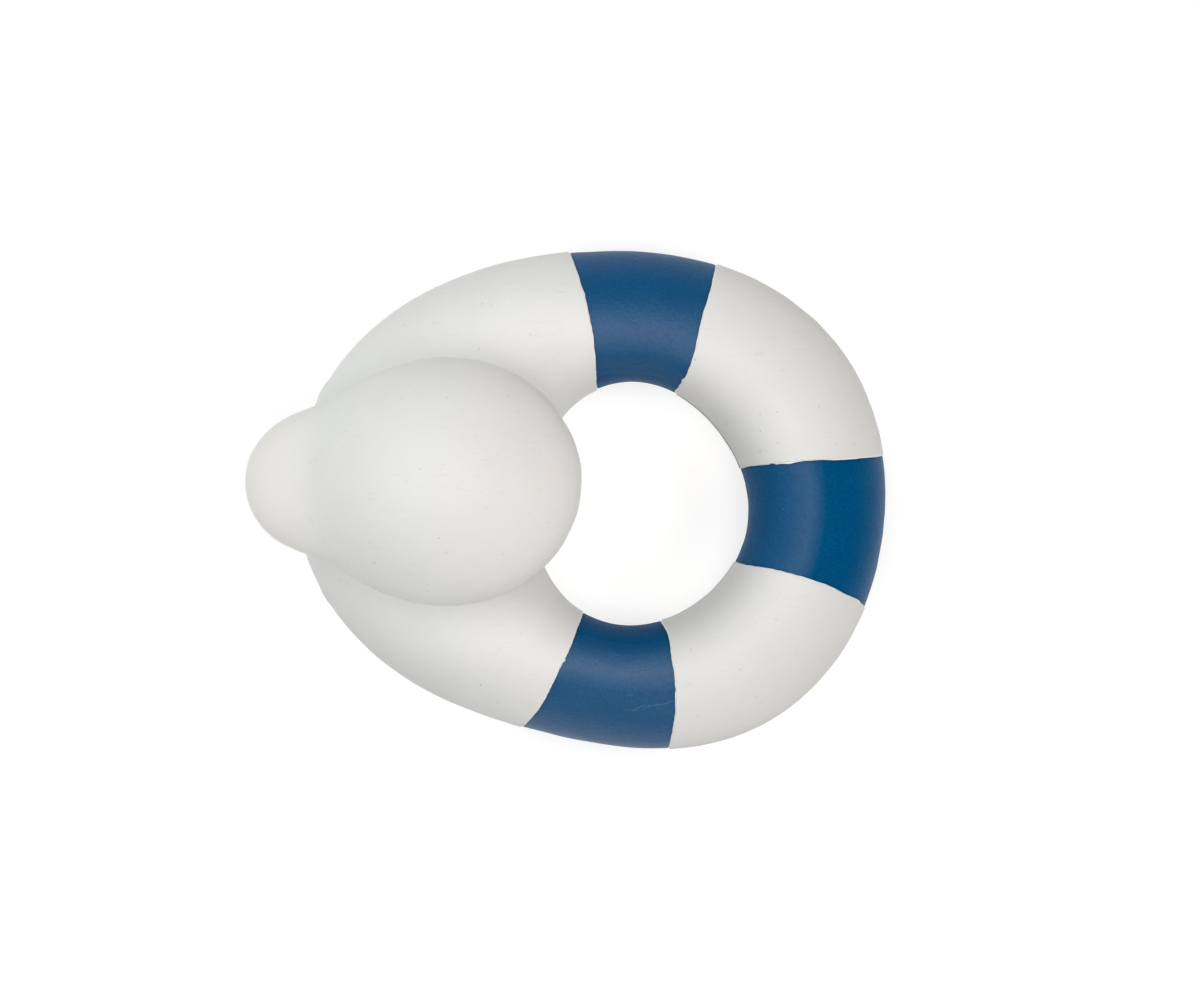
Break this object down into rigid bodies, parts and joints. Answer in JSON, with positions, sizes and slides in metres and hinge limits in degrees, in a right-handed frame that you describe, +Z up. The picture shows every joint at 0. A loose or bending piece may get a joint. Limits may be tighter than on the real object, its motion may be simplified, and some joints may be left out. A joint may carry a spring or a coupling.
{
  "type": "ring float toy",
  "caption": "Hollow moulded rubber bath float: an egg-shaped ring lifebuoy with painted blue bands and a pear-shaped bird head with a broad bill over its chest.",
  "frame": {"origin": "middle of the bounding box, on the plane the ring rests on", "axes": "+Z up, +X along the length from the bill to the rear of the ring, so the bill points to -X"},
  "size_m": [0.1077, 0.0859, 0.0653],
  "materials": {
    "natural_rubber": "matt off-white moulded rubber",
    "blue_paint": "semi-matt hand-painted film",
    "plug_rubber": "matt"
  },
  "bodies": {
    "root": {"ring_upper_shell": "natural_rubber", "ring_lower_shell": "natural_rubber", "head_upper_shell": "natural_rubber", "head_lower_shell": "natural_rubber", "paint_band_left": "blue_paint", "paint_band_rear": "blue_paint", "paint_band_right": "blue_paint", "vent_plug": "plug_rubber"}
  },
  "joints": []
}
